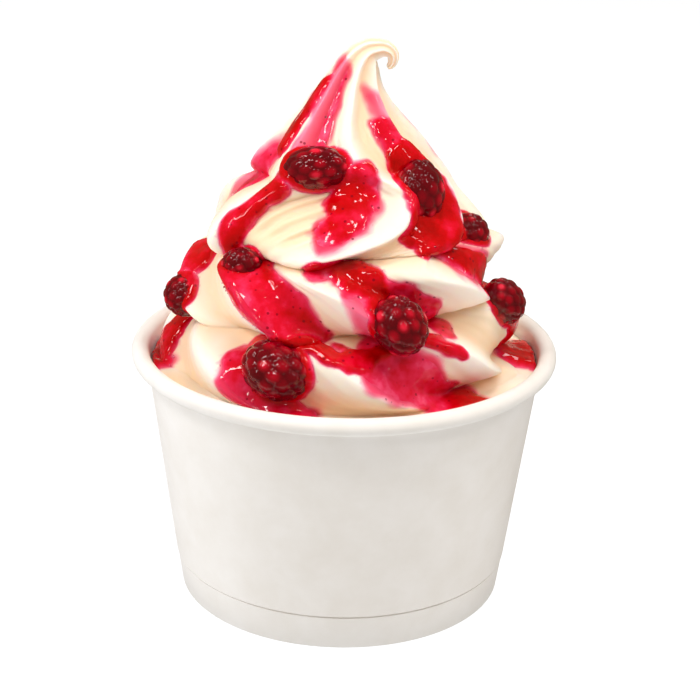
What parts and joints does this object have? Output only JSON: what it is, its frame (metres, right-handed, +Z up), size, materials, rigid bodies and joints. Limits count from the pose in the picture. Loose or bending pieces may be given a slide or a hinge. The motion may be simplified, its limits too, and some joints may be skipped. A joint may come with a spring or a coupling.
{
  "type": "frozen yogurt cup",
  "caption": "White paper cup filled with soft-serve frozen yogurt coiled into a tall swirl with a curled tip, topped with berries and berry sauce.",
  "frame": {"origin": "middle of the cup's foot, on the surface that the cup stands on", "axes": "+Z up along the cup's axis, -Y towards the viewer, +X to the viewer's right, the side that the tip curls to"},
  "size_m": [0.0966, 0.0966, 0.1284],
  "materials": {
    "paper": "smooth white coated paperboard, matte",
    "yogurt": "smooth cream-coloured frozen yogurt, softly shiny",
    "berry": "dark red berries and berry sauce, wet and glossy"
  },
  "bodies": {
    "root": {"cup_wall": "paper", "cup_bottom": "paper", "yogurt_swirl": "yogurt", "berry_crown": "berry", "berry_upper_right": "berry", "berry_right_crease": "berry", "berry_middle": "berry", "berry_front": "berry", "berry_left_rim": "berry", "berry_left_small": "berry", "berry_right_rim": "berry", "berry_back_high": "berry", "berry_back_middle": "berry", "berry_back_low": "berry"}
  },
  "joints": []
}
